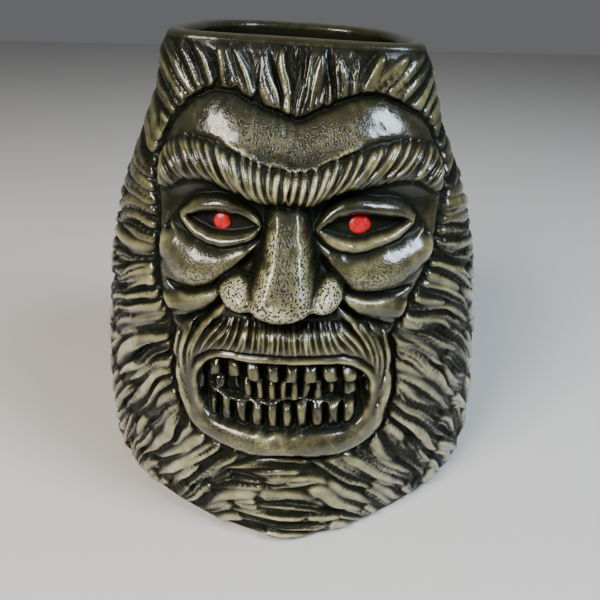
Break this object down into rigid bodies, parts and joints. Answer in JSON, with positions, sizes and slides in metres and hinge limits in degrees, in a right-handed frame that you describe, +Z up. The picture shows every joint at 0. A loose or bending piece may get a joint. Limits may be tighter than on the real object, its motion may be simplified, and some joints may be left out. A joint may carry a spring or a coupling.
{
  "type": "ceramic tiki mug",
  "caption": "Glazed ceramic tiki mug shaped as a fierce wild man's head with mane, beard and bared teeth, open at the top, flat foot",
  "frame": {"origin": "centre of the bounding box in plan, on the plane that the dry foot stands on", "axes": "+Z is up through the mouth, the face looks along -Y, +X is to the right seen from the front"},
  "size_m": [0.132, 0.1062, 0.143],
  "materials": {
    "body_glaze": "glossy dark green glaze, pooled",
    "rim_glaze": "glossy olive glaze, worn thin",
    "skin_glaze": "glossy speckled ash glaze over wiped dark stain",
    "hair_glaze": "glossy ash glaze, dark in the grooves and pale on the ridges",
    "tooth_glaze": "glossy ash glaze, dark between the teeth",
    "eye_glaze": "glossy dark olive glaze",
    "red_enamel": "glossy dark red enamel",
    "bare_clay": "unglazed fired stoneware, matt"
  },
  "bodies": {
    "root": {"back_hair": "hair_glaze", "beard": "hair_glaze", "brow": "hair_glaze", "crown_hair": "hair_glaze", "dry_foot": "bare_clay", "face_plate": "skin_glaze", "left_cheek": "skin_glaze", "left_eyeball": "eye_glaze", "left_iris": "red_enamel", "left_lower_lid": "skin_glaze", "left_mane": "hair_glaze", "left_upper_lid": "skin_glaze", "lower_lip": "skin_glaze", "lower_teeth": "tooth_glaze", "moustache": "hair_glaze", "nose": "skin_glaze", "right_cheek": "skin_glaze", "right_eyeball": "eye_glaze", "right_iris": "red_enamel", "right_lower_lid": "skin_glaze", "right_mane": "hair_glaze", "right_upper_lid": "skin_glaze", "rim_lip": "rim_glaze", "upper_lip": "skin_glaze", "upper_teeth": "tooth_glaze", "vessel": "body_glaze"}
  },
  "joints": []
}
